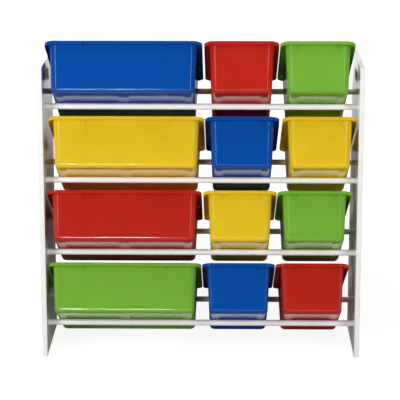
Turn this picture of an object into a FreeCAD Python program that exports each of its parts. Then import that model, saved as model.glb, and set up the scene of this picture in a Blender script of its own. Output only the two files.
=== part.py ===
import FreeCAD, Part
import math
import os

# A children's toy rack that holds twelve lift-out bins on four levels.
#
# Two upright side boards stand on floor glides.  Two steel tubes run between the
# boards on every level, at the same height.  Each bin rests its bottom on the rear
# tube and leans its front wall on the front tube, so its mouth tips to the front.
#
# Millimetres.  +Z is up, the open front of the rack looks towards -Y, and +X is on
# the right of someone who stands before that front.  The origin lies on the floor,
# under the middle of the box round the whole rack.

# ---------------------------------------------------------------- side boards
inner_width = 824.0          # clear width between the two boards
board_thickness = 13.0
board_depth = 280.0
board_height = 788.0         # without the glides under it
board_edge_round = 1.0
hand_hole_length = 100.0
hand_hole_height = 28.0
hand_hole_drop = 44.0        # from the top edge down to the middle of the hole

# ---------------------------------------------------------------- floor glides
glide_diameter = 12.0
glide_height = 4.0
glide_edge_round = 1.0
glide_pin_diameter = 2.4
glide_pin_length = 16.0
glide_inset = 22.0           # from the board's front or rear edge to the pin
pin_clearance = 0.05

# ---------------------------------------------------------------- tubes (rods)
level_count = 4
lowest_rod_height = 83.5     # floor to the middle of the lowest pair of rods
level_pitch = 198.6
rod_diameter = 16.0
rod_wall = 1.2
rear_rod_setback = 53.0      # from the boards' rear edge to the rod's middle
front_rod_setback = 15.0     # from the boards' front edge to the rod's middle
rod_pocket_depth = 3.0       # blind pocket in each board that takes the rod's end
rod_pocket_clearance = 0.1

# ---------------------------------------------------------------- rod fastenings
plug_length = 22.0           # threaded plug pressed into each end of a rod
plug_clearance = 0.05
bolt_diameter = 6.0
bolt_hole_clearance = 0.25
bolt_thread_clearance = 0.05
bolt_bite = 16.0             # length of thread inside the plug
bolt_head_diameter = 12.0
bolt_head_height = 3.2
bolt_head_clearance = 0.1
hex_socket_width = 4.0       # across the flats
hex_socket_depth = 2.2
cap_diameter = 15.0          # push-in cap over each bolt head
cap_thickness = 1.6
cap_edge_round = 1.0
cap_stem_diameter = 3.6
cap_stem_length = 1.8

# ---------------------------------------------------------------- bins
bin_height = 131.0
bin_bottom_depth = 269.0     # front to rear along the bottom, sharp corners
bin_tilt = 27.9              # degrees, front end low
end_draft = 7.0              # degrees, front and rear walls
side_draft = 2.7             # degrees, side walls
wall_thickness = 2.2
floor_thickness = 4.0
corner_radius_bottom = 16.0  # upright corners of the tub, outside
corner_radius_top = 19.0
bottom_edge_radius = 12.0    # between the walls and the bottom, outside
lip_overhang_end = 9.0       # rim beyond the front and rear walls
lip_overhang_side = 13.5     # rim beyond the side walls
lip_corner_radius = 27.0
lip_depth = 9.5
lip_thickness = 2.2
lip_edge_round = 1.6
mouth_round = 1.4            # inner edge of the rim
gusset_thickness = 2.6
gusset_height = 22.0         # below the rim's top face
pocket_depth = 1.8           # shallow recess in the underside
pocket_side_margin = 27.0
pocket_end_margin = 15.0
pocket_centre_pad = 26.0     # left standing in the middle of a large bin
pocket_corner_radius = 9.0
rod_clearance = 0.3          # between a bin and each rod it lies on

# ---------------------------------------------------------------- modelling aids
cut_over = 1.0               # how far a cutting tool runs past a face
level_tolerance = 0.0001     # edges this close to one height count as level

# rim width, distance from the rim's side to a gusset, and number of recesses
bin_sizes = {
    "large": {"width": 409.0, "gusset_inset": 96.0, "pockets": 2},
    "small": {"gusset_inset": 46.0, "pockets": 1},
}

# A row is one large bin and two small ones.  The small ones share the width that the
# large one and the row's free play leave between the boards.
row_clearance = 26.0
small_bins_in_row = 2
row_rest = inner_width - bin_sizes["large"]["width"] - row_clearance
bin_sizes["small"]["width"] = row_rest / small_bins_in_row

# From the lowest level up.  Each entry is (place, size, colour, gap before it),
# counted from the right-hand board.  The gaps of a row use up most of its free play.
levels = [
    [("large", "large", "green", 4.5), ("middle", "small", "blue", 2.0), ("end", "small", "red", 2.0)],
    [("large", "large", "red", 5.5), ("middle", "small", "yellow", 4.0), ("end", "small", "green", 2.0)],
    [("large", "large", "yellow", 12.0), ("middle", "small", "blue", 2.0), ("end", "small", "yellow", 8.5)],
    [("large", "large", "blue", 7.0), ("middle", "small", "red", 5.0), ("end", "small", "green", 2.5)],
]

# ---------------------------------------------------------------- derived places
rod_radius = rod_diameter / 2
board_inner_x = inner_width / 2
board_outer_x = board_inner_x + board_thickness
rear_rod_y = board_depth / 2 - rear_rod_setback
front_rod_y = -board_depth / 2 + front_rod_setback
rod_length = inner_width + 2 * rod_pocket_depth
rod_end_x = rod_length / 2
rod_heights = [lowest_rod_height + level_pitch * level for level in range(level_count)]
rod_bore_radius = rod_radius - rod_wall

X_AXIS = FreeCAD.Vector(1, 0, 0)
Z_AXIS = FreeCAD.Vector(0, 0, 1)


def vector(x, y, z):
    return FreeCAD.Vector(x, y, z)


def rounded_rectangle(width, depth, radius, height):
    """Closed wire round a rectangle with round corners, centred, at one height."""
    x = width / 2
    y = depth / 2
    corners = [(x - radius, y - radius, 0), (radius - x, y - radius, 90),
               (radius - x, radius - y, 180), (x - radius, radius - y, 270)]
    edges = []
    for index, (cx, cy, start) in enumerate(corners):
        circle = Part.Circle(vector(cx, cy, height), Z_AXIS, radius)
        arc = Part.Arc(circle, math.radians(start), math.radians(start + 90)).toShape()
        edges.append(arc)
        next_x, next_y, next_start = corners[(index + 1) % len(corners)]
        line_start = arc.valueAt(arc.LastParameter)
        angle = math.radians(next_start)
        line_end = vector(next_x + radius * math.cos(angle), next_y + radius * math.sin(angle), height)
        edges.append(Part.LineSegment(line_start, line_end).toShape())
    return Part.Wire(edges)


def rounded_block(width, depth, radius, low, high):
    """Upright block with round corners between two heights."""
    face = Part.Face(rounded_rectangle(width, depth, radius, low))
    return face.extrude(vector(0, 0, high - low))


def edges_at_height(shape, height):
    """Edges of a shape that lie wholly in one level plane."""
    found = []
    for edge in shape.Edges:
        heights = [edge.valueAt(edge.FirstParameter).z, edge.valueAt(edge.LastParameter).z]
        heights.append(edge.CenterOfMass.z)
        if max(abs(z - height) for z in heights) < level_tolerance:
            found.append(edge)
    return found


# ---------------------------------------------------------------- side boards
def hex_prism(across_flats, height):
    """Six-sided prism along +X from x = 0."""
    sides = 6
    corner = across_flats / 2 / math.cos(math.pi / sides)
    points = []
    for index in range(sides + 1):
        angle = 2 * math.pi * index / sides
        points.append(vector(0, corner * math.cos(angle), corner * math.sin(angle)))
    return Part.Face(Part.makePolygon(points)).extrude(vector(height, 0, 0))


def rod_places():
    """(y, z) of every rod's middle: rear and front rod of each level."""
    places = []
    for z in rod_heights:
        places.append((rear_rod_y, z))
        places.append((front_rod_y, z))
    return places


def glide_places():
    """Y of the front and the rear glide under a board."""
    reach = board_depth / 2 - glide_inset
    return [("front", -reach), ("rear", reach)]


def right_board():
    """The board at +X, with its pockets, bolt holes, hand hole and pin holes."""
    board = Part.makeBox(board_thickness, board_depth, board_height,
                         vector(board_inner_x, -board_depth / 2, glide_height))
    board = board.makeFillet(board_edge_round, board.Edges)
    cutters = []
    for y, z in rod_places():
        pocket_start = vector(board_inner_x - cut_over, y, z)
        pocket_radius = rod_radius + rod_pocket_clearance
        cutters.append(Part.makeCylinder(pocket_radius, cut_over + rod_pocket_depth, pocket_start, X_AXIS))
        hole_radius = bolt_diameter / 2 + bolt_hole_clearance
        cutters.append(Part.makeCylinder(hole_radius, board_thickness + cut_over,
                                         vector(board_inner_x, y, z), X_AXIS))
        sink_radius = bolt_head_diameter / 2 + bolt_head_clearance
        sink_start = vector(board_outer_x - bolt_head_height, y, z)
        cutters.append(Part.makeCone(hole_radius, sink_radius, bolt_head_height, sink_start, X_AXIS))
    straight = hand_hole_length - hand_hole_height
    hole_z = glide_height + board_height - hand_hole_drop
    hole_radius = hand_hole_height / 2
    through = board_thickness + 2 * cut_over
    start_x = board_inner_x - cut_over
    cutters.append(Part.makeBox(through, straight, hand_hole_height,
                                vector(start_x, -straight / 2, hole_z - hole_radius)))
    for y in (-straight / 2, straight / 2):
        cutters.append(Part.makeCylinder(hole_radius, through, vector(start_x, y, hole_z), X_AXIS))
    for _, y in glide_places():
        pin_hole_radius = glide_pin_diameter / 2 + pin_clearance
        pin_start = vector(board_inner_x + board_thickness / 2, y, glide_height - cut_over)
        cutters.append(Part.makeCylinder(pin_hole_radius, cut_over + glide_pin_length + pin_clearance,
                                         pin_start, Z_AXIS))
    return board.cut(cutters)


def glide(y):
    """Floor glide under the board at +X: a round foot with a pin up into the board."""
    x = board_inner_x + board_thickness / 2
    foot = Part.makeCylinder(glide_diameter / 2, glide_height, vector(x, y, 0), Z_AXIS)
    foot = foot.makeFillet(glide_edge_round, edges_at_height(foot, 0))
    pin = Part.makeCylinder(glide_pin_diameter / 2, glide_pin_length, vector(x, y, glide_height), Z_AXIS)
    return foot.fuse(pin).removeSplitter()


# ---------------------------------------------------------------- rods and fastenings
def rod(y, z):
    """Steel tube from pocket floor to pocket floor."""
    start = vector(-rod_end_x, y, z)
    outside = Part.makeCylinder(rod_radius, rod_length, start, X_AXIS)
    inside = Part.makeCylinder(rod_bore_radius, rod_length, start, X_AXIS)
    return outside.cut(inside)


def plug(y, z):
    """Threaded plug in the rod's end at +X."""
    start = vector(rod_end_x - plug_length, y, z)
    body = Part.makeCylinder(rod_bore_radius - plug_clearance, plug_length, start, X_AXIS)
    bore = Part.makeCylinder(bolt_diameter / 2 + bolt_thread_clearance, plug_length, start, X_AXIS)
    return body.cut(bore)


def bolt(y, z):
    """Countersunk bolt through the board at +X into the plug."""
    head_start = board_outer_x - bolt_head_height
    tip = rod_end_x - bolt_bite
    shank = Part.makeCylinder(bolt_diameter / 2, head_start - tip, vector(tip, y, z), X_AXIS)
    head = Part.makeCone(bolt_diameter / 2, bolt_head_diameter / 2, bolt_head_height,
                         vector(head_start, y, z), X_AXIS)
    socket = hex_prism(hex_socket_width, hex_socket_depth)
    socket.translate(vector(board_outer_x - hex_socket_depth, y, z))
    return shank.fuse(head).removeSplitter().cut(socket)


def cap(y, z):
    """Push-in cap that lies on the board's outer face, with a stem in the hex socket."""
    disc = Part.makeCylinder(cap_diameter / 2, cap_thickness, vector(board_outer_x, y, z), X_AXIS)
    outer_edge = max(disc.Edges, key=lambda edge: edge.CenterOfMass.x)
    disc = disc.makeFillet(cap_edge_round, [outer_edge])
    stem_start = vector(board_outer_x - cap_stem_length, y, z)
    stem = Part.makeCylinder(cap_stem_diameter / 2, cap_stem_length, stem_start, X_AXIS)
    return disc.fuse(stem).removeSplitter()


# ---------------------------------------------------------------- bins
def draft_gain(angle, rise):
    """How far a drafted wall leans outwards over a rise."""
    return rise * math.tan(math.radians(angle))


def tub_block(base, inset, low, high):
    """Drafted tub form between two heights, inset from the outside by a wall.

    base is the outer width of the bottom, taken at height 0.
    """
    wires = []
    for z in (low, high):
        share = z / bin_height
        radius = corner_radius_bottom + (corner_radius_top - corner_radius_bottom) * share - inset
        block_width = base + 2 * draft_gain(side_draft, z) - 2 * inset
        block_depth = bin_bottom_depth + 2 * draft_gain(end_draft, z) - 2 * inset
        wires.append(rounded_rectangle(block_width, block_depth, radius, z))
    return Part.makeLoft(wires, True, True)


def gusset(x, side, bin_depth):
    """Small upright web between an end wall and the rim; side is -1 front, +1 rear."""
    wall_top = bin_bottom_depth / 2 + draft_gain(end_draft, bin_height)
    wall_low = bin_bottom_depth / 2 + draft_gain(end_draft, bin_height - gusset_height)
    skirt = bin_depth / 2 - lip_thickness / 2
    top = bin_height - lip_thickness / 2
    half_wall = wall_thickness / 2
    outline = [(wall_top - half_wall, top), (skirt, top), (skirt, bin_height - lip_depth + lip_thickness),
               (wall_low, bin_height - gusset_height), (wall_low - half_wall, bin_height - gusset_height)]
    points = [vector(x - gusset_thickness / 2, side * y, z) for y, z in outline]
    points.append(points[0])
    return Part.Face(Part.makePolygon(points)).extrude(vector(gusset_thickness, 0, 0))


def underside_pockets(base, count):
    """Shallow recesses in the underside, side by side."""
    clear = base - 2 * pocket_side_margin - (count - 1) * pocket_centre_pad
    width = clear / count
    depth = bin_bottom_depth - 2 * pocket_end_margin
    cutters = []
    for index in range(count):
        x = -base / 2 + pocket_side_margin + width / 2 + index * (width + pocket_centre_pad)
        block = rounded_block(width, depth, pocket_corner_radius, -cut_over, pocket_depth)
        block.translate(vector(x, 0, 0))
        cutters.append(block)
    return cutters


def bin_shape(size):
    """One bin in its own frame: bottom at z = 0, front wall at -Y, mouth up."""
    width = size["width"]
    bin_depth = bin_bottom_depth + 2 * (draft_gain(end_draft, bin_height) + lip_overhang_end)
    base = width - 2 * (draft_gain(side_draft, bin_height) + lip_overhang_side)
    outside = tub_block(base, 0, 0, bin_height)
    outside = outside.makeFillet(bottom_edge_radius, edges_at_height(outside, 0))
    inside = tub_block(base, wall_thickness, floor_thickness, bin_height)
    inner_round = bottom_edge_radius - wall_thickness
    inside = inside.makeFillet(inner_round, edges_at_height(inside, floor_thickness))
    rim = rounded_block(width, bin_depth, lip_corner_radius, bin_height - lip_depth, bin_height)
    rim = rim.makeFillet(lip_edge_round, edges_at_height(rim, bin_height))
    groove = rounded_block(width - 2 * lip_thickness, bin_depth - 2 * lip_thickness,
                           lip_corner_radius - lip_thickness,
                           bin_height - lip_depth - cut_over, bin_height - lip_thickness)
    rim = rim.cut(groove)
    pieces = [rim]
    for side in (-1, 1):
        for x in (-width / 2 + size["gusset_inset"], width / 2 - size["gusset_inset"]):
            pieces.append(gusset(x, side, bin_depth))
    body = outside.fuse(pieces).removeSplitter()
    body = body.cut([inside] + underside_pockets(base, size["pockets"]))
    half_depth = bin_bottom_depth / 2 + draft_gain(end_draft, bin_height) - wall_thickness / 2
    half_width = base / 2 + draft_gain(side_draft, bin_height) - wall_thickness / 2
    mouth = []
    for edge in edges_at_height(body, bin_height):
        box = edge.BoundBox
        if max(box.YMax, -box.YMin) < half_depth and max(box.XMax, -box.XMin) < half_width:
            mouth.append(edge)
    return body.makeFillet(mouth_round, mouth)


def seat():
    """Middle of a bin's bottom (y, z) from its level's rod height.

    The bottom plane is tangent to the rear rod and the front wall to the front rod,
    each with the same clearance.
    """
    tilt = math.radians(bin_tilt)
    lean = math.radians(bin_tilt + end_draft)
    reach = rod_radius + rod_clearance
    bottom_normal = (-math.sin(tilt), math.cos(tilt))
    wall_normal = (-math.cos(lean), -math.sin(lean))
    bottom_offset = bottom_normal[0] * rear_rod_y + reach
    wall_offset = wall_normal[0] * front_rod_y - reach
    wall_offset -= bin_bottom_depth / 2 * math.cos(math.radians(end_draft))
    area = bottom_normal[0] * wall_normal[1] - bottom_normal[1] * wall_normal[0]
    y = (bottom_offset * wall_normal[1] - bottom_normal[1] * wall_offset) / area
    z = (bottom_normal[0] * wall_offset - bottom_offset * wall_normal[0]) / area
    return y, z


def placed_bin(shape, x, rod_height):
    """A copy of a bin, tipped to the front and set on the rods of one level."""
    seat_y, seat_z = seat()
    copy = shape.copy()
    copy.rotate(vector(0, 0, 0), X_AXIS, bin_tilt)
    copy.translate(vector(x, seat_y, rod_height + seat_z))
    return copy


# ---------------------------------------------------------------- the whole rack
def build():
    """All pieces by name, before the shift to the origin."""
    nodes = {}
    middle = vector(0, 0, 0)
    nodes["side_board_right"] = right_board()
    nodes["side_board_left"] = nodes["side_board_right"].mirror(middle, X_AXIS)
    for place, y in glide_places():
        nodes["floor_glide_%s_right" % place] = glide(y)
        nodes["floor_glide_%s_left" % place] = glide(y).mirror(middle, X_AXIS)
    for index, z in enumerate(rod_heights):
        nodes["rear_rod_level%d" % (index + 1)] = rod(rear_rod_y, z)
        nodes["front_rod_level%d" % (index + 1)] = rod(front_rod_y, z)
    for name, maker in (("rod_end_plugs", plug), ("rod_bolts", bolt), ("bolt_caps", cap)):
        right = Part.makeCompound([maker(y, z) for y, z in rod_places()])
        nodes[name + "_right"] = right
        nodes[name + "_left"] = right.mirror(middle, X_AXIS)
    shapes = {name: bin_shape(size) for name, size in bin_sizes.items()}
    for index, row in enumerate(levels[:level_count]):
        edge_x = board_inner_x
        for place, size, colour, gap in row:
            width = bin_sizes[size]["width"]
            x = edge_x - gap - width / 2
            edge_x = x - width / 2
            name = "bin_level%d_%s_%s" % (index + 1, place, colour)
            nodes[name] = placed_bin(shapes[size], x, rod_heights[index])
    return nodes


def box_middle(nodes):
    """Y of the middle of the box round every piece."""
    low = min(shape.optimalBoundingBox(False).YMin for shape in nodes.values())
    high = max(shape.optimalBoundingBox(False).YMax for shape in nodes.values())
    return (low + high) / 2


parts = build()
origin_shift_y = -box_middle(parts)
os.makedirs("parts", exist_ok=True)
for name, shape in parts.items():
    shape.translate(vector(0, origin_shift_y, 0))
    shape.exportStep("parts/%s.step" % name)
print("nodes", len(parts), "shift to the origin in y", round(origin_shift_y, 3))
print("seat of a bin from its rod height", [round(value, 3) for value in seat()])
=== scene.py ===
# %% [markdown]
# # A children's rack with twelve lift-out bins
#
# The rack is two white boards joined by white tubes. Every pair of tubes carries a row
# of glossy bins that tip forwards, so that a child sees into them. This lesson takes
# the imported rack, gives each piece its real finish, and lights it like a catalogue
# picture taken from behind the rack, where the bins' rear walls and undersides show.
#
# The frame comes first, because every finish below goes onto one of its pieces.

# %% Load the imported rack
import math

import bpy
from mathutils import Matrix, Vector


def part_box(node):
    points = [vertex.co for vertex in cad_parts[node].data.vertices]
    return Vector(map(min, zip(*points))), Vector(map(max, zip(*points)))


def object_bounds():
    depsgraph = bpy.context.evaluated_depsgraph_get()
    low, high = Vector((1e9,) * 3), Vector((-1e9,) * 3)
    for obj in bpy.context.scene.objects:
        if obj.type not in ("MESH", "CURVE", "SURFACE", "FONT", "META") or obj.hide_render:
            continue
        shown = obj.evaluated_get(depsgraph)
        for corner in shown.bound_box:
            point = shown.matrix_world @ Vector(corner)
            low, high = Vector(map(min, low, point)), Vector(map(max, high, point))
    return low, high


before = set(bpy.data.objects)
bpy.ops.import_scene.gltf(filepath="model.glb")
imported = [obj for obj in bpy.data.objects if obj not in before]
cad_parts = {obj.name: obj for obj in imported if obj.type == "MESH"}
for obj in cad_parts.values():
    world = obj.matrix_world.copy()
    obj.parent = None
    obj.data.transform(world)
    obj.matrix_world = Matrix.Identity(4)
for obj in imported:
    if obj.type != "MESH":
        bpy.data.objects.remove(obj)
bpy.context.view_layer.update()
cad_low, cad_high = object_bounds()
rack_width, rack_depth, rack_height = cad_high - cad_low
print("rack", round(rack_width, 4), round(rack_depth, 4), round(rack_height, 4))

# %% [markdown]
# ## Which node is which
#
# The names of the nodes say what each piece is. Picking them by the start of the name
# keeps the later cells short: a finish is then given to a whole group at once.

# %% Sort the nodes by what they are
MM = 0.001


def nodes_called(start):
    """Names of the nodes that begin with this word, in order."""
    return sorted(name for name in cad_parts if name.startswith(start))


boards = nodes_called("side_board")
bins = nodes_called("bin_level")
for names in (boards, bins):
    print(len(names), names[0], "to", names[-1])

# %% [markdown]
# ## Small helpers for shader trees
#
# A shader tree is a list of nodes and a list of wires. Made by hand, each wire is a
# drag of the mouse; made in code, each is one call. `feed` accepts either a number or
# another node's output, so a formula can be written without caring which one it has.

# %% Nodes, wires and arithmetic


def feed(tree, socket, value):
    """Wire an output into a socket, or set the socket to a plain value."""
    if isinstance(value, bpy.types.NodeSocket):
        tree.links.new(value, socket)
    else:
        socket.default_value = value


def add(tree, kind, inputs=None, **settings):
    """Add one shader node with its settings and its inputs."""
    made = tree.nodes.new("ShaderNode" + kind)
    for name, value in settings.items():
        setattr(made, name, value)
    for name, value in (inputs or {}).items():
        feed(tree, made.inputs[name], value)
    return made


def calc(tree, operation, first, second=0.0, third=0.0, clamp=False):
    """One step of arithmetic, as an output."""
    made = add(tree, "Math", operation=operation, use_clamp=clamp)
    for index, value in enumerate((first, second, third)):
        feed(tree, made.inputs[index], value)
    return made.outputs[0]


def times(tree, first, second):
    """Product of two values, as an output."""
    return calc(tree, "MULTIPLY", first, second)


def ramp(tree, value, low, high, to_low=0.0, to_high=1.0):
    """Straight ramp of a value from one range to another, held at both ends."""
    made = add(tree, "MapRange", {"Value": value, "From Min": low, "From Max": high,
                                  "To Min": to_low, "To Max": to_high})
    return made.outputs["Result"]


def split(tree, vector):
    """X, Y and Z of a vector, as three outputs."""
    made = add(tree, "SeparateXYZ", {"Vector": vector})
    return made.outputs[0], made.outputs[1], made.outputs[2]


print("helpers for nodes ready")

# %% [markdown]
# Colours in a shader are linear light, not the numbers of a paint program, and a
# socket wants a fourth value for them, the alpha. Places are the object's own metres,
# so that every pattern has a real size and stays with its piece when that moves.

# %% Colours, places and bumps


def rgb(red, green, blue):
    """Linear colour with the alpha that a socket wants."""
    return (red, green, blue, 1.0)


def shaded(colour, factor, lift=0.0):
    """Colour made darker by a factor, and then paler by the same lift in each channel."""
    red, green, blue = (channel * factor + lift for channel in colour[:3])
    return rgb(red, green, blue)


def blend_colours(tree, share, first, second):
    """Mix two colours by a share from 0 to 1."""
    made = add(tree, "Mix", data_type="RGBA")
    feed(tree, made.inputs[0], share)
    feed(tree, made.inputs[6], first)
    feed(tree, made.inputs[7], second)
    return made.outputs[2]


def object_place(tree):
    """The point being shaded, in the object's own metres."""
    return add(tree, "TexCoord").outputs["Object"]


def noise(tree, where, size, detail=3.0):
    """Soft noise from 0 to 1 whose blobs are about this many metres across."""
    made = add(tree, "TexNoise", {"Vector": where, "Scale": 1 / size, "Detail": detail})
    return made.outputs["Fac"]


def bump(tree, height, depth, share):
    """Normal bent by a height from 0 to 1 that stands for this depth in metres."""
    made = add(tree, "Bump", {"Height": height, "Distance": depth, "Strength": share})
    return made.outputs["Normal"]


print("helpers for colours ready")

# %% [markdown]
# A node group is an effect with named knobs. It is built once and placed in as many
# materials as want it, each with its own values on the knobs. A finished material goes
# into the one slot of a piece, and the mesh of that piece stays as it was built.

# %% Groups and materials


def new_group(name, inputs, outputs):
    """Empty shader group with named sockets; gives the tree, its inputs and its end."""
    tree = bpy.data.node_groups.new(name, "ShaderNodeTree")
    for label, kind, start in inputs:
        socket = tree.interface.new_socket(label, in_out="INPUT", socket_type="NodeSocket" + kind)
        if start is not None:
            socket.default_value = start
    for label, kind in outputs:
        tree.interface.new_socket(label, in_out="OUTPUT", socket_type="NodeSocket" + kind)
    start = tree.nodes.new("NodeGroupInput")
    end = tree.nodes.new("NodeGroupOutput")
    return tree, start.outputs, end.inputs


def place_group(tree, group, **inputs):
    """Use a group inside a material, with this material's own values."""
    made = tree.nodes.new("ShaderNodeGroup")
    made.node_tree = group
    for name, value in inputs.items():
        feed(tree, made.inputs[name.replace("_", " ")], value)
    return made.outputs


def new_material(name):
    """Material with one Principled BSDF; gives the material, its tree and that shader."""
    material = bpy.data.materials.new(name)
    material.use_nodes = True
    tree = material.node_tree
    return material, tree, tree.nodes["Principled BSDF"]


def dress(name, material):
    """Give a node this finish on every face."""
    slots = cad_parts[name].data.materials
    slots.clear()
    slots.append(material)


print("helpers for groups and materials ready")

# %% [markdown]
# ## Effects that several finishes share
#
# Nothing that has been made and handled is perfectly even. Three effects come back in
# every finish of the rack, so each is a node group, built once:
#
# - *fine skin*: the orange peel of a moulding or a coating, over a slow waviness
# - *rub marks*: short, thin scratches in many directions, most of them faint
# - *settled dust*: a soft grey film that gathers on faces that look up
#
# A group gives out only heights and masks. The shader stays in the material.

# %% Group: fine skin
skin, inside, outside = new_group(
    "fine skin",
    [("Place", "Vector", None), ("Grain Size", "Float", 0.0006), ("Wave Size", "Float", 0.05),
     ("Grain Share", "Float", 0.3)],
    [("Height", "Float"), ("Tone", "Float")])
grain_scale = calc(skin, "DIVIDE", 1.0, inside["Grain Size"])
wave_scale = calc(skin, "DIVIDE", 1.0, inside["Wave Size"])
grain = add(skin, "TexNoise", {"Vector": inside["Place"], "Scale": grain_scale, "Detail": 2.0})
wave = add(skin, "TexNoise", {"Vector": inside["Place"], "Scale": wave_scale, "Detail": 1.0})
grain_on_wave = calc(skin, "MULTIPLY_ADD", grain.outputs["Fac"], inside["Grain Share"],
                     wave.outputs["Fac"])
feed(skin, outside["Height"], grain_on_wave)
feed(skin, outside["Tone"], ramp(skin, wave.outputs["Fac"], 0.3, 0.7))
print("group", skin.name, "nodes", len(skin.nodes))

# %% [markdown]
# A scratch is noise that is stretched until its blobs are long and thin, and of which
# only the highest ridges are kept. Three directions laid over each other look random,
# and a second, coarse noise keeps the marks in patches, as hands and toys leave them.

# %% Group: rub marks
THIN = 28.0                       # how many times longer than wide a mark is
DIRECTIONS = ((0.3, 0.2, 0.5), (1.1, -0.4, 1.9), (-0.7, 1.3, 2.8))
RIDGE_FOOT, RIDGE_TOP = 0.66, 0.78
PATCH_FOOT, PATCH_TOP = 0.4, 0.62
PATCHES_PER_METRE = 9.0
rubs, inside, outside = new_group(
    "rub marks",
    [("Place", "Vector", None), ("Length", "Float", 0.04), ("Amount", "Float", 0.5)],
    [("Mask", "Float")])
strongest = 0.0
for turn in DIRECTIONS:
    turned = add(rubs, "Mapping", {"Vector": inside["Place"], "Rotation": turn,
                                   "Scale": (1.0, THIN, THIN)})
    scale = calc(rubs, "DIVIDE", 1.0, inside["Length"])
    streak = add(rubs, "TexNoise", {"Vector": turned.outputs[0], "Scale": scale, "Detail": 1.0})
    ridge = ramp(rubs, streak.outputs["Fac"], RIDGE_FOOT, RIDGE_TOP)
    strongest = calc(rubs, "MAXIMUM", strongest, ridge)
patchy = add(rubs, "TexNoise", {"Vector": inside["Place"], "Scale": PATCHES_PER_METRE,
                                "Detail": 1.0})
spread = ramp(rubs, patchy.outputs["Fac"], PATCH_FOOT, PATCH_TOP)
feed(rubs, outside["Mask"], times(rubs, times(rubs, strongest, spread), inside["Amount"]))
print("group", rubs.name, "nodes", len(rubs.nodes))

# %% [markdown]
# Dust asks for the surface's direction: it lies only where a face looks up. A soft
# drift and tiny specks are added together and held back to those faces.

# %% Group: settled dust
DUST_GREY = rgb(0.42, 0.41, 0.38)
LEVEL_FROM, LEVEL_FULL = 0.55, 0.98       # upward share of a face's direction
DRIFTS_PER_METRE = 22.0
SPECKS_PER_METRE = 1400.0
dust, inside, outside = new_group(
    "settled dust",
    [("Place", "Vector", None), ("Amount", "Float", 0.3)],
    [("Mask", "Float")])
_, _, facing_up = split(dust, add(dust, "NewGeometry").outputs["Normal"])
level_share = ramp(dust, facing_up, LEVEL_FROM, LEVEL_FULL)
drift = add(dust, "TexNoise", {"Vector": inside["Place"], "Scale": DRIFTS_PER_METRE,
                               "Detail": 4.0})
speck = add(dust, "TexNoise", {"Vector": inside["Place"], "Scale": SPECKS_PER_METRE,
                               "Detail": 1.0})
film = ramp(dust, drift.outputs["Fac"], 0.35, 0.7, 0.25, 0.8)
specks = ramp(dust, speck.outputs["Fac"], 0.66, 0.74, 0.0, 0.5)
together = calc(dust, "ADD", film, specks, clamp=True)
feed(dust, outside["Mask"], times(dust, times(dust, together, level_share), inside["Amount"]))
print("group", dust.name, "nodes", len(dust.nodes))

# %% [markdown]
# ## The bins' plastic
#
# Each bin is one shot of coloured polypropylene. It comes out of the mould glossy, with
# a faint orange peel, slow sink waves on the big walls, and a rim that gets dull where
# hands take hold of it. The rear half of its underside is polished by the rear tube that
# it slides on. The flanks and the front half are as dull as the mould left them.
#
# A photograph of each bin would be one way, and a plain glossy colour another. Here the
# finish is written from the bin's own directions, so that rim and rubbed half stay with
# the bin when it is lifted, and every bin differs a little. The first step is to find
# these directions, because a bin tips forwards on its tubes.

# %% Where a bin's own directions lie
BIN_TILT = math.radians(27.9)
BIN_HEIGHT = 131 * MM
BOTTOM_TO_TUBE = -8.263 * MM       # bottom's middle from the tubes' middle height
BOTTOM_MIDDLE_Y = 42.945 * MM


def tube_height(level):
    """Height of the middle of a level's tubes."""
    low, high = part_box("rear_rod_level%s" % level)
    return (low.z + high.z) / 2


def bin_origin(name):
    """Middle of a bin's bottom, where its own directions start."""
    level = name[len("bin_level")]
    low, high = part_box(name)
    return Vector(((low.x + high.x) / 2, BOTTOM_MIDDLE_Y, tube_height(level) + BOTTOM_TO_TUBE))


def bin_place(tree, name):
    """The point being shaded, in the tipped bin's own directions."""
    own = add(tree, "Mapping", {"Vector": object_place(tree), "Location": bin_origin(name),
                                "Rotation": (BIN_TILT, 0.0, 0.0)}, vector_type="TEXTURE")
    return own.outputs[0]


for name in bins[:3]:
    print(name, [round(value, 4) for value in bin_origin(name)])

# %% [markdown]
# The gloss is a clear coat over the colour, and the plastic's plain specular level is
# off. Either could make a wall shine, but of the two only the coat's weight may carry a
# mask into the exported model. Here it needs one: full on the end walls, the rim and
# the rubbed half, low on the flanks and under the front half.

# %% Where the plastic is glossy
OWN_UP = (0.0, -math.sin(BIN_TILT), math.cos(BIN_TILT))
POLISHED = 1.0         # gloss of the end walls, the rim and the rubbed underside
AS_MOULDED = 0.3       # gloss of the flanks and of the unrubbed underside
RUB_END = 0.0          # behind the middle of its bottom the bin rubs on its rear tube
RUB_FADE = 10 * MM
FLANK_FROM, FLANK_FULL = 0.6, 0.8        # sideways share of the direction of a flank
UNDER_FROM, UNDER_FULL = -0.5, -0.8      # upward share of the direction of the underside


def bin_gloss(tree, along, up):
    """Gloss of the shaded point of a bin, from its place and the way it faces."""
    normal = add(tree, "TexCoord").outputs["Normal"]
    sideways, _, _ = split(tree, normal)
    flank = ramp(tree, calc(tree, "ABSOLUTE", sideways), FLANK_FROM, FLANK_FULL)
    facing_up = add(tree, "VectorMath", {0: normal, 1: OWN_UP}, operation="DOT_PRODUCT")
    facing_down = ramp(tree, facing_up.outputs["Value"], UNDER_FROM, UNDER_FULL)
    upper_half = ramp(tree, up, BIN_HEIGHT * 0.5, BIN_HEIGHT * 0.6)
    front_half = ramp(tree, along, RUB_END + RUB_FADE, RUB_END - RUB_FADE)
    unrubbed = times(tree, facing_down, calc(tree, "MAXIMUM", upper_half, front_half))
    dull_share = calc(tree, "MAXIMUM", flank, unrubbed)
    return ramp(tree, dull_share, 0.0, 1.0, POLISHED, AS_MOULDED)


print("gloss from", AS_MOULDED, "to", POLISHED)

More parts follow.
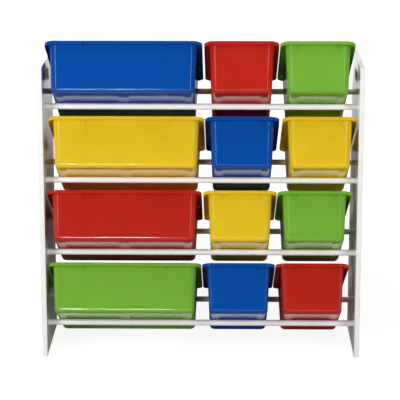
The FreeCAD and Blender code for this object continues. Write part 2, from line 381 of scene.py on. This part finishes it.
# %% [markdown]
# Hands take hold of the rim and leave it duller in patches. A noise cuts the patches out
# of a band along the top, in the bin's own height, so that the band follows the rim.

# %% Where hands have dulled the rim
RIM_DEPTH = 9.5 * MM
HAND_PATCH = 30 * MM


def handled_rim(tree, place, up):
    """Patches along the rim that hands have dulled."""
    rim = ramp(tree, up, BIN_HEIGHT - RIM_DEPTH * 1.4, BIN_HEIGHT - RIM_DEPTH * 0.3)
    patches = ramp(tree, noise(tree, place, HAND_PATCH), 0.4, 0.65)
    return times(tree, rim, patches)


print("rim band", round(RIM_DEPTH * 1.4 / MM, 1), "mm deep")

# %% [markdown]
# Pigment sets the rest. A red, green or yellow wall lets some light through, which makes
# its shaded parts glow, and the blue pigment stops most of it. Subsurface scattering does
# this: the light goes in, spreads by about a centimetre and comes out coloured.

# %% The four plastics
PLASTICS = {
    "blue": rgb(0.0028, 0.070, 0.360),
    "red": rgb(0.485, 0.0215, 0.0125),
    "green": rgb(0.180, 0.425, 0.041),
    "yellow": rgb(0.830, 0.525, 0.018),
}
SEE_THROUGH = {"blue": 0.12, "red": 0.5, "green": 0.5, "yellow": 0.6}
LIGHT_SPREAD = 12 * MM
COAT_ROUGHNESS = 0.07
COAT_IOR = 1.49
PEEL_DEPTH = 0.6 * MM


def bin_colour(tree, colour, tone, marks, film):
    """Pigment that is a little uneven, paler in its scratches and grey under dust."""
    base = blend_colours(tree, tone, shaded(colour, 0.95), colour)
    base = blend_colours(tree, times(tree, marks, 0.35), base, shaded(colour, 0.93, 0.035))
    return blend_colours(tree, film, base, DUST_GREY)


def bin_plastic(name):
    """Finish of one bin, from its own directions."""
    pigment = name.rsplit("_", 1)[1]
    colour = PLASTICS[pigment]
    material, tree, shader = new_material(name + "_plastic")
    place = bin_place(tree, name)
    _, along, up = split(tree, place)
    skin_out = place_group(tree, skin, Place=place, Grain_Size=0.9 * MM, Wave_Size=70 * MM,
                           Grain_Share=0.06)
    marks = place_group(tree, rubs, Place=place, Length=50 * MM, Amount=0.3)["Mask"]
    film = place_group(tree, dust, Place=place, Amount=0.06)["Mask"]
    base = bin_colour(tree, colour, skin_out["Tone"], marks, film)
    feed(tree, shader.inputs["Base Color"], base)
    handled = handled_rim(tree, place, up)
    dull = calc(tree, "ADD", times(tree, handled, 0.25), times(tree, marks, 0.3))
    kept = calc(tree, "SUBTRACT", 1.0, calc(tree, "ADD", dull, film), clamp=True)
    feed(tree, shader.inputs["Coat Weight"], times(tree, bin_gloss(tree, along, up), kept))
    satin = calc(tree, "MULTIPLY_ADD", skin_out["Tone"], 0.05, 0.3)
    feed(tree, shader.inputs["Roughness"], calc(tree, "ADD", satin, dull))
    feed(tree, shader.inputs["Normal"], bump(tree, skin_out["Height"], PEEL_DEPTH, 0.3))
    shader.inputs["Coat Roughness"].default_value = COAT_ROUGHNESS
    shader.inputs["Coat IOR"].default_value = COAT_IOR
    shader.inputs["Specular IOR Level"].default_value = 0.0
    shader.inputs["Subsurface Weight"].default_value = SEE_THROUGH[pigment]
    shader.inputs["Subsurface Radius"].default_value = colour[:3]
    shader.inputs["Subsurface Scale"].default_value = LIGHT_SPREAD
    return material


for name in bins:
    dress(name, bin_plastic(name))
print("bins dressed", len(bins))

# %% [markdown]
# ## The white boards
#
# The side boards are particle board under a white melamine film, with a white band
# round the edges. The film has a fine pearl texture and a soft sheen. The carrying
# hole is cut through after the film is on, so its wall shows the bare brown chips.
#
# The brown could be a separate ring of mesh. A mask from the hole's own size does the
# same on the board's real surface, with no extra piece that could come loose.

# %% The bare wall of the carrying hole
HOLE_LENGTH = 100 * MM
HOLE_HEIGHT = 28 * MM
HOLE_DROP = 44 * MM
CHIP_DARK = rgb(0.075, 0.045, 0.028)
CHIP_PALE = rgb(0.24, 0.155, 0.095)
CHIP_SIZE = 4 * MM
CHIPS_PER_METRE = 420.0


def hole_wall(tree, inside_x, across, above):
    """1 on the wall of the hole, a slot with round ends, and 0 on the film round it."""
    straight = (HOLE_LENGTH - HOLE_HEIGHT) / 2
    past_end = calc(tree, "MAXIMUM", calc(tree, "SUBTRACT", across, straight), 0.0)
    squares = calc(tree, "ADD", times(tree, past_end, past_end), times(tree, above, above))
    from_middle = calc(tree, "SQRT", squares)
    near = ramp(tree, from_middle, HOLE_HEIGHT / 2 + 0.4 * MM, HOLE_HEIGHT / 2 + 0.2 * MM)
    return times(tree, near, ramp(tree, inside_x, 0.25 * MM, 0.5 * MM))


def wood_flecks(tree, place):
    """Pale and dark chips of the bare board, from 0 to 1."""
    chips = add(tree, "TexVoronoi", {"Vector": place, "Scale": CHIPS_PER_METRE}, feature="F1")
    chip_tone, _, _ = split(tree, chips.outputs["Color"])
    soft = noise(tree, place, CHIP_SIZE, 4.0)
    return calc(tree, "MULTIPLY_ADD", soft, 0.5, times(tree, chip_tone, 0.5))


print("hole", round(HOLE_LENGTH / MM), "x", round(HOLE_HEIGHT / MM), "mm")

# %% [markdown]
# The film is nearly one white, a little uneven, and its pearl texture is shallow. On the
# narrow edges of a board a hair line of glue shows beside each face. It is found like
# the hole: from how far a point lies inside the faces of the board.

# %% White melamine film
WHITE_FILM = rgb(0.86, 0.86, 0.85)
FILM_SHADE = rgb(0.84, 0.84, 0.83)
GLUE_LINE = rgb(0.55, 0.53, 0.49)
SEAM_INSET = 0.9 * MM        # from the two broad faces of the board


def band_seam(tree, inside_x, inside_y):
    """1 on the hair line beside each face, on the board's narrow edges."""
    on_edge = ramp(tree, inside_y, 0.6 * MM, 0.4 * MM)
    off_line = calc(tree, "ABSOLUTE", calc(tree, "SUBTRACT", inside_x, SEAM_INSET))
    return times(tree, ramp(tree, off_line, 0.16 * MM, 0.06 * MM), on_edge)


def board_finish(name):
    """White film with banded edges and a bare carrying hole."""
    low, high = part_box(name)
    middle = (low + high) / 2
    material, tree, shader = new_material(name + "_melamine")
    place = object_place(tree)
    x, y, z = split(tree, place)
    off_middle = calc(tree, "ABSOLUTE", calc(tree, "SUBTRACT", x, middle.x))
    across = calc(tree, "ABSOLUTE", calc(tree, "SUBTRACT", y, middle.y))
    inside_x = calc(tree, "SUBTRACT", (high.x - low.x) / 2, off_middle)
    inside_y = calc(tree, "SUBTRACT", (high.y - low.y) / 2, across)
    above = calc(tree, "SUBTRACT", z, high.z - HOLE_DROP)
    bare = hole_wall(tree, inside_x, across, above)
    flecks = wood_flecks(tree, place)
    skin_out = place_group(tree, skin, Place=place, Grain_Size=1.1 * MM, Wave_Size=120 * MM,
                           Grain_Share=0.5)
    marks = place_group(tree, rubs, Place=place, Length=60 * MM, Amount=0.4)["Mask"]
    film = place_group(tree, dust, Place=place, Amount=0.12)["Mask"]
    white = blend_colours(tree, skin_out["Tone"], FILM_SHADE, WHITE_FILM)
    seam = band_seam(tree, inside_x, inside_y)
    white = blend_colours(tree, times(tree, seam, 0.6), white, GLUE_LINE)
    white = blend_colours(tree, times(tree, marks, 0.25), white, GLUE_LINE)
    white = blend_colours(tree, film, white, DUST_GREY)
    wood = blend_colours(tree, flecks, CHIP_DARK, CHIP_PALE)
    feed(tree, shader.inputs["Base Color"], blend_colours(tree, bare, white, wood))
    worn = calc(tree, "MULTIPLY_ADD", marks, 0.2, 0.12)
    satin = calc(tree, "MULTIPLY_ADD", skin_out["Tone"], 0.05, worn)
    rough = calc(tree, "MULTIPLY_ADD", bare, 0.5, satin)
    feed(tree, shader.inputs["Roughness"], calc(tree, "MINIMUM", rough, 0.9))
    pearl = times(tree, skin_out["Height"], 0.06)
    height = calc(tree, "ADD", times(tree, flecks, bare), pearl)
    feed(tree, shader.inputs["Normal"], bump(tree, height, 0.6 * MM, 0.5))
    return material


for name in boards:
    dress(name, board_finish(name))
print("boards dressed", len(boards))

# %% [markdown]
# ## Tubes, glides and fastenings
#
# The tubes are steel with a glossy white powder coat. Powder melts into a skin with a
# gentle orange peel, a little coarser than that of the bins. The glides are tough dark
# plastic, scraped underneath; the caps, plugs and bolts are small and mostly hidden,
# but the caps show when the rack is seen from the side.
#
# Five materials of one kind could be wired one by one. Here one function has their
# amounts as its arguments, so that a change to the wear reaches all five.

# %% Powder coat on the tubes


def coated(name, colour, deeper, grain, wave, rough, peel, metallic=0.0, rub=0.4):
    """An even finish with skin, rub marks and dust in its own amounts."""
    material, tree, shader = new_material(name)
    place = object_place(tree)
    skin_out = place_group(tree, skin, Place=place, Grain_Size=grain, Wave_Size=wave,
                           Grain_Share=0.4)
    marks = place_group(tree, rubs, Place=place, Length=30 * MM, Amount=rub)["Mask"]
    film = place_group(tree, dust, Place=place, Amount=0.10)["Mask"]
    base = blend_colours(tree, skin_out["Tone"], deeper, colour)
    base = blend_colours(tree, times(tree, marks, 0.3), base, deeper)
    feed(tree, shader.inputs["Base Color"], blend_colours(tree, film, base, DUST_GREY))
    worn = calc(tree, "MULTIPLY_ADD", marks, 0.2, rough)
    feed(tree, shader.inputs["Roughness"], calc(tree, "MULTIPLY_ADD", skin_out["Tone"], 0.06, worn))
    feed(tree, shader.inputs["Normal"], bump(tree, skin_out["Height"], peel, 0.4))
    shader.inputs["Metallic"].default_value = metallic
    return material


powder_coat = coated("white_powder_coat", rgb(0.93, 0.93, 0.93), rgb(0.91, 0.91, 0.91),
                     grain=1.6 * MM, wave=30 * MM, rough=0.28, peel=0.08 * MM)
tubes = nodes_called("rear_rod") + nodes_called("front_rod")
for name in tubes:
    dress(name, powder_coat)
print(len(tubes), "tubes dressed with", powder_coat.name)

# %% [markdown]
# The other four differ from the powder coat only in their amounts. The glides are dark
# and scraped, the caps and plugs are satin mouldings, and the bolts are bright zinc,
# the only bare metal on the rack.

# %% Glides, caps, plugs and bolts
glide_plastic = coated("dark_glide_plastic", rgb(0.030, 0.030, 0.032), rgb(0.020, 0.020, 0.021),
                       grain=0.8 * MM, wave=10 * MM, rough=0.48, peel=0.3 * MM, rub=0.9)
cap_plastic = coated("white_cap_plastic", rgb(0.84, 0.84, 0.82), rgb(0.78, 0.78, 0.76),
                     grain=0.7 * MM, wave=10 * MM, rough=0.36, peel=0.2 * MM)
plug_plastic = coated("grey_plug_plastic", rgb(0.55, 0.55, 0.53), rgb(0.47, 0.47, 0.45),
                      grain=0.7 * MM, wave=10 * MM, rough=0.45, peel=0.2 * MM)
bolt_steel = coated("zinc_plated_steel", rgb(0.62, 0.63, 0.66), rgb(0.48, 0.49, 0.52),
                    grain=0.5 * MM, wave=6 * MM, rough=0.30, peel=0.1 * MM, metallic=1.0, rub=0.7)
for start, finish in (("floor_glide", glide_plastic), ("bolt_caps", cap_plastic),
                      ("rod_end_plugs", plug_plastic), ("rod_bolts", bolt_steel)):
    for name in nodes_called(start):
        dress(name, finish)
    print(start, "dressed with", finish.name)

# %% [markdown]
# ## Floor and surroundings
#
# A catalogue picture has a white ground that still holds a soft shadow. The floor is a
# pale sheet that is lit like everything else, and has some light of its own that only
# the eye sees: straight, through clear things and in mirrors. Close to the rack this
# light is weaker, so that the shadow stays, and mirrors leave it out there, because it
# would lie on the bins' glossy undersides as a grey veil.

# %% Pale floor
FLOOR_REACH = 12.0
FLOOR_GREY = rgb(0.40, 0.40, 0.40)
NEAR_LIGHT = 0.86                         # own light close to the rack; further off it is 1
OWN_LIGHT_FROM, OWN_LIGHT_FULL = 0.5, 1.6       # metres from the middle of the rack
MIRRORED_FROM, MIRRORED_FULL = 1.8, 4.5         # metres, for what the mirrors see of it


def for_the_eye(tree, mirrored=1.0):
    """1 for rays that show the ground: straight, through clear things, and mirrored."""
    path = add(tree, "LightPath")
    straight = calc(tree, "MAXIMUM", path.outputs["Is Camera Ray"],
                    path.outputs["Is Transmission Ray"])
    return calc(tree, "MAXIMUM", straight, times(tree, path.outputs["Is Glossy Ray"], mirrored))


floor_mesh = bpy.data.meshes.new("floor")
corners = [(-FLOOR_REACH, -FLOOR_REACH, 0), (FLOOR_REACH, -FLOOR_REACH, 0),
           (FLOOR_REACH, FLOOR_REACH, 0), (-FLOOR_REACH, FLOOR_REACH, 0)]
floor_mesh.from_pydata(corners, [], [(0, 1, 2, 3)])
floor = bpy.data.objects.new("floor", floor_mesh)
bpy.context.scene.collection.objects.link(floor)
floor_paint, tree, shader = new_material("pale_floor")
shader.inputs["Base Color"].default_value = FLOOR_GREY
shader.inputs["Roughness"].default_value = 0.9
shader.inputs["Emission Color"].default_value = rgb(1.0, 1.0, 1.0)
ground_x, ground_y, _ = split(tree, object_place(tree))
away = calc(tree, "SQRT", calc(tree, "ADD", times(tree, ground_x, ground_x),
                               times(tree, ground_y, ground_y)))
own_light = ramp(tree, away, OWN_LIGHT_FROM, OWN_LIGHT_FULL, NEAR_LIGHT, 1.0)
eye = for_the_eye(tree, ramp(tree, away, MIRRORED_FROM, MIRRORED_FULL))
feed(tree, shader.inputs["Emission Strength"], times(tree, eye, own_light))
floor_mesh.materials.append(floor_paint)
print("floor", FLOOR_REACH * 2, "m wide")

# %% [markdown]
# The surroundings are dim and a little warm, so that faces turned from the lamps really
# go grey. To the eye they are white, like the floor far away, and the two meet unseen.

# %% Dim room, white to the eye
AMBIENT = rgb(0.13, 0.105, 0.085)
world = bpy.data.worlds.new("room")
bpy.context.scene.world = world
world.use_nodes = True
tree = world.node_tree
background = tree.nodes["Background"]
room_colour = blend_colours(tree, for_the_eye(tree), AMBIENT, rgb(1.0, 1.0, 1.0))
feed(tree, background.inputs["Color"], room_colour)
background.inputs["Strength"].default_value = 1.0
print("ambient", AMBIENT[:3])

# %% [markdown]
# ## Lamps
#
# Most of the light comes from behind the rack, from two pairs of soft lamps left and
# right of the camera. They stay low on purpose: every rear tube lies under the bin that
# it carries, which shades it from anything more than 35 degrees up, and the undersides
# are lit from near the floor. They stay at the sides, because the front tubes then lie
# in the shade of the bins, as they should. The left pair is the stronger one, which
# models the round corners. The lamps of these pairs aren't mirrored: big bright squares
# on glossy walls would hide the colour.

# %% Two pairs of soft lamps
middle = (cad_low + cad_high) / 2


def soft_lamp(name, azimuth, elevation, distance, width, height, power):
    """Area lamp aimed at the middle of the rack; azimuth 180 is behind the rack."""
    turn = math.radians(azimuth)
    rise = math.radians(elevation)
    outwards = Vector((math.sin(turn) * math.cos(rise), -math.cos(turn) * math.cos(rise),
                       math.sin(rise)))
    data = bpy.data.lights.new(name, "AREA")
    data.shape = "RECTANGLE"
    data.size = width
    data.size_y = height
    data.energy = power
    lamp = bpy.data.objects.new(name, data)
    lamp.location = middle + outwards * distance
    lamp.rotation_mode = "QUATERNION"
    lamp.rotation_quaternion = outwards.to_track_quat("Z", "Y")
    lamp.visible_camera = False
    bpy.context.scene.collection.objects.link(lamp)
    print(name, "at", [round(value, 2) for value in lamp.location], round(power, 1), "W")
    return lamp


FILL_DISTANCE = 3.2
FILL_WIDTH = 1.4
for side, azimuth, share in (("left", 138, 1.12), ("right", 222, 0.78)):
    for part, elevation, height, power in (("high", 26, 0.9, 22), ("low", 0, 0.6, 28)):
        fill = soft_lamp(side + "_" + part + "_fill", azimuth, elevation, FILL_DISTANCE,
                         FILL_WIDTH, height, power * share)
        fill.visible_glossy = False

# %% [markdown]
# The highlights come from three narrow lamps that are mirrored. Two tall ones draw the
# upright lines on the bins' round corners, and a low one, a little to the left, draws
# the thin line along the bottom edge of the wide bins. One lamp above the rack and one
# before it open up the insides.
#
# These last two would also lay a bright patch on the floor. Light linking keeps the
# floor out of their reach, so that it stays dark where the bins' undersides mirror it.

# %% Strips for highlights, and light for the insides
soft_lamp("left_strip", azimuth=142, elevation=27, distance=3.8, width=0.3, height=1.2,
          power=9)
soft_lamp("right_strip", azimuth=218, elevation=27, distance=3.8, width=0.3, height=1.2,
          power=6)
soft_lamp("low_strip", azimuth=172, elevation=4, distance=4.2, width=0.6, height=0.14,
          power=24)
overhead = soft_lamp("overhead", azimuth=180, elevation=85, distance=3.5, width=1.4,
                     height=1.4, power=42)
front_box = soft_lamp("front_box", azimuth=24, elevation=24, distance=4.2, width=2.4,
                      height=1.2, power=110)
unlit = bpy.data.collections.new("unlit floor")
unlit.objects.link(floor)
overhead.light_linking.receiver_collection = unlit
front_box.light_linking.receiver_collection = unlit
unlit.collection_objects[0].light_linking.link_state = "EXCLUDE"

# %% [markdown]
# ## Black card
#
# White surroundings would lie as a grey veil over the glossy walls. A photographer puts
# a black card beside and above the camera, and the walls mirror that and stay
# saturated. The card here is a curved sheet behind the camera that the camera doesn't
# see and that casts no shadow. It is curved because a flat one, however large, couldn't
# reach round to the sides as far as the walls mirror.

# %% Black card behind the camera
CARD_REACH = 6.5           # from the middle of the rack
CARD_SPREAD = math.radians(100)
CARD_LOW = math.radians(9)
CARD_HIGH = math.radians(75)
CARD_STEPS = 12


def card_point(across, upwards):
    """Point of the card for two shares from 0 to 1."""
    turn = CARD_SPREAD * (2 * across - 1)
    rise = CARD_LOW + (CARD_HIGH - CARD_LOW) * upwards
    outwards = Vector((math.sin(turn) * math.cos(rise), math.cos(turn) * math.cos(rise),
                       math.sin(rise)))
    return middle + outwards * CARD_REACH


row_length = CARD_STEPS + 1
card_points = [card_point(column / CARD_STEPS, row / CARD_STEPS)
               for row in range(row_length) for column in range(row_length)]
card_faces = []
for row in range(CARD_STEPS):
    for column in range(CARD_STEPS):
        corner = row * row_length + column
        card_faces.append((corner, corner + 1, corner + row_length + 1, corner + row_length))
card_mesh = bpy.data.meshes.new("black_card")
card_mesh.from_pydata(card_points, [], card_faces)
card = bpy.data.objects.new("black_card", card_mesh)
card.visible_camera = False
card.visible_shadow = False
bpy.context.scene.collection.objects.link(card)
card_paint, tree, shader = new_material("black_felt")
shader.inputs["Base Color"].default_value = rgb(0.01, 0.01, 0.01)
shader.inputs["Roughness"].default_value = 0.95
card_mesh.materials.append(card_paint)
print("card", len(card_faces), "faces")

# %% [markdown]
# ## Camera
#
# The picture was taken from behind the rack, from a little above, with a long lens.
# The camera's place was worked out from the boards' corners and the tubes' heights.
# Its direction is built from two angles, and the lens looks along its own -Z axis.

# %% Camera
LENS = 159.4
SENSOR = 36.0
CAMERA_PLACE = Vector((-0.0634, 4.642, 1.5937))
PITCH = math.radians(14.344)
YAW = math.radians(0.825)
looking = Vector((math.sin(YAW) * math.cos(PITCH), -math.cos(YAW) * math.cos(PITCH),
                  -math.sin(PITCH)))
camera_data = bpy.data.cameras.new("camera")
camera_data.lens = LENS
camera_data.sensor_width = SENSOR
camera_data.clip_end = 60.0
camera = bpy.data.objects.new("camera", camera_data)
camera.location = CAMERA_PLACE
camera.rotation_mode = "QUATERNION"
camera.rotation_quaternion = looking.to_track_quat("-Z", "Y")
bpy.context.scene.collection.objects.link(camera)
bpy.context.scene.camera = camera
bpy.context.scene.view_settings.view_transform = "Standard"
print("camera", [round(value, 3) for value in CAMERA_PLACE], LENS, "mm")

# %% [markdown]
# ## The end
#
# The dressing leaves every mesh as it was built. The scene is brought up to date.

# %% Bring the scene up to date
bpy.context.view_layer.update()
